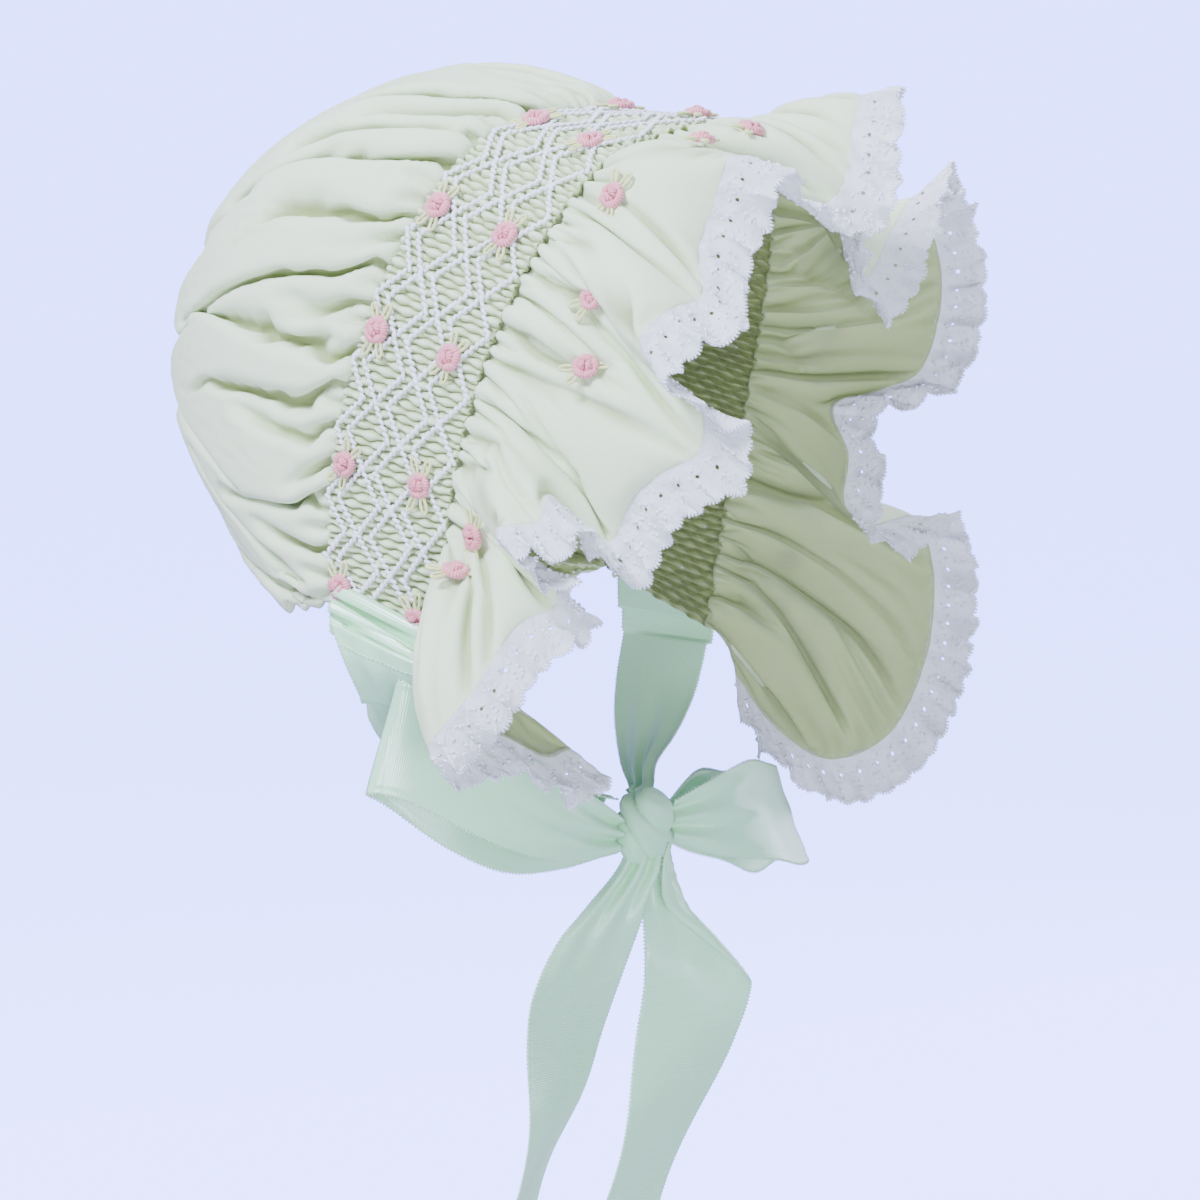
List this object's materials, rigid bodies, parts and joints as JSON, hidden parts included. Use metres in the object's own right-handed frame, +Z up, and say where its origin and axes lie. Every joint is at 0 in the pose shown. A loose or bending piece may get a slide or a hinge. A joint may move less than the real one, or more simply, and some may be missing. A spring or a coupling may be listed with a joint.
{
  "type": "baby bonnet",
  "caption": "Gathered cotton baby bonnet with a smocked band, a fluted brim edged with eyelet lace, and satin ribbon ties in a bow",
  "frame": {"origin": "the top of the smocked band over the crown of the head, where the head carries the bonnet", "axes": "+Z up along the worn head, -Y the way the face looks, +X towards the wearer's left ear"},
  "size_m": [0.2179, 0.2376, 0.3433],
  "materials": {
    "mint_cotton": "matt plain-weave cotton",
    "white_lace": "white cotton eyelet lace",
    "mint_satin": "satin ribbon with stitched edges"
  },
  "bodies": {
    "root": {"crown": "mint_cotton", "smocked_band": "mint_cotton", "brim": "mint_cotton", "lace_trim": "white_lace", "tie_right": "mint_satin", "tie_left": "mint_satin", "bow_knot": "mint_satin", "bow_loop_right": "mint_satin", "bow_loop_left": "mint_satin", "tail_right": "mint_satin", "tail_left": "mint_satin"}
  },
  "joints": []
}
